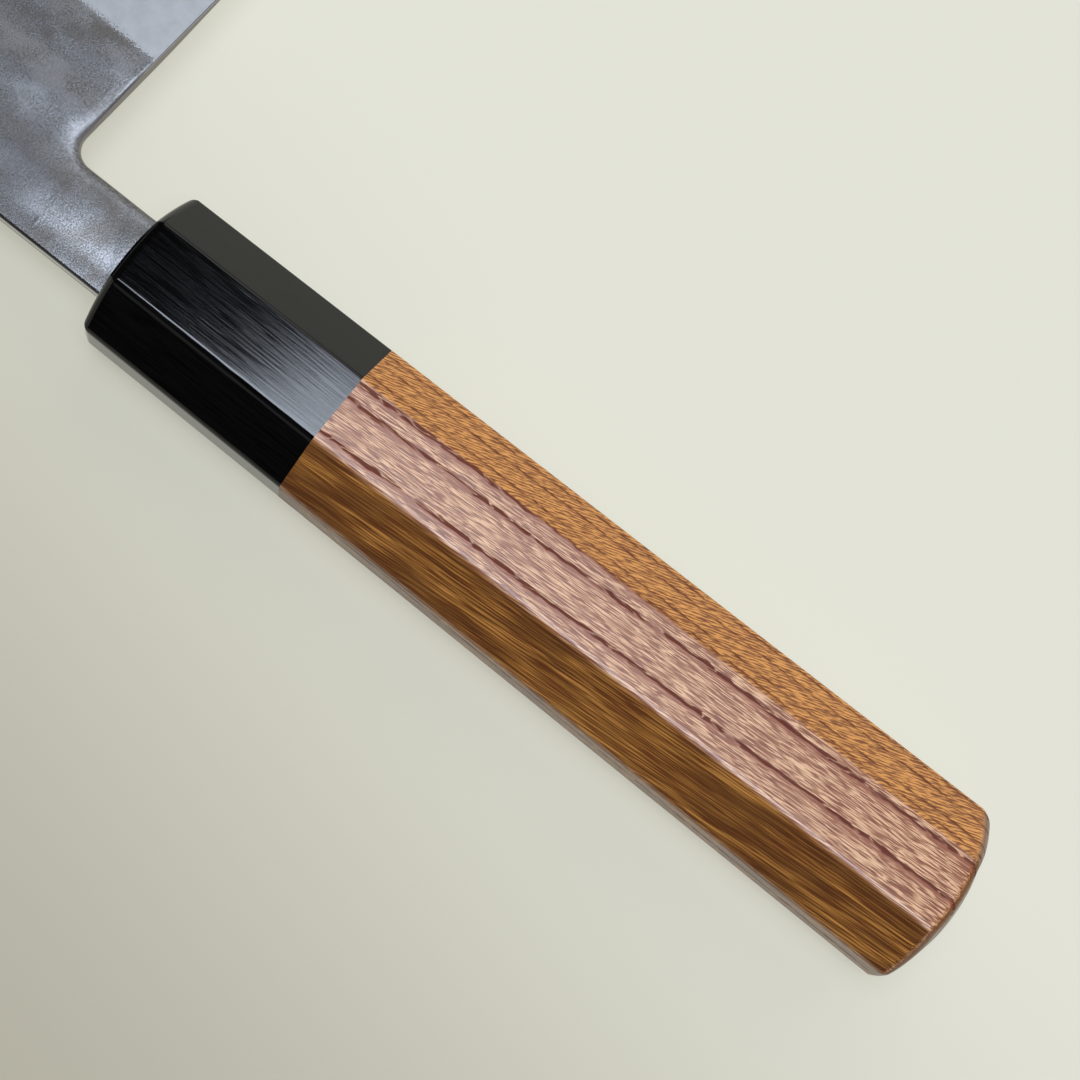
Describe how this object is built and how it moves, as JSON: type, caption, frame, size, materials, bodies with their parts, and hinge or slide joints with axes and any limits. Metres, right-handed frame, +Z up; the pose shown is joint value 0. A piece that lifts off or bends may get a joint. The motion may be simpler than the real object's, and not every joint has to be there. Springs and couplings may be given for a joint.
{
  "type": "bunka knife",
  "caption": "Japanese bunka kitchen knife with an angled tip: a laminated pear-skin blade on a hidden tang in an octagonal wooden handle with a dark ferrule, lying on its left side.",
  "frame": {"origin": "middle of the knife's box, on the surface that it lies on", "axes": "+X from the butt to the tip, +Y from the cutting edge to the spine, +Z up, out of the blade's right side"},
  "size_m": [0.3138, 0.0532, 0.0195],
  "materials": {
    "core_steel": "satin, ground lengthwise",
    "clad_steel": "pear-skin forged face above a satin bevel",
    "ferrule_wood": "black resin-filled wood, polished",
    "grip_wood": "ring-porous hardwood, oiled and burnished",
    "dowel_wood": "plain pale hardwood",
    "bedding_resin": "cured clear amber resin",
    "mouth_sealant": "smoothed dark sealant"
  },
  "bodies": {
    "root": {"blade_core": "core_steel", "blade_cladding_right": "clad_steel", "blade_cladding_left": "clad_steel", "ferrule": "ferrule_wood", "handle_body": "grip_wood", "handle_dowel": "dowel_wood", "tang_bedding": "bedding_resin", "mouth_seal": "mouth_sealant"}
  },
  "joints": []
}
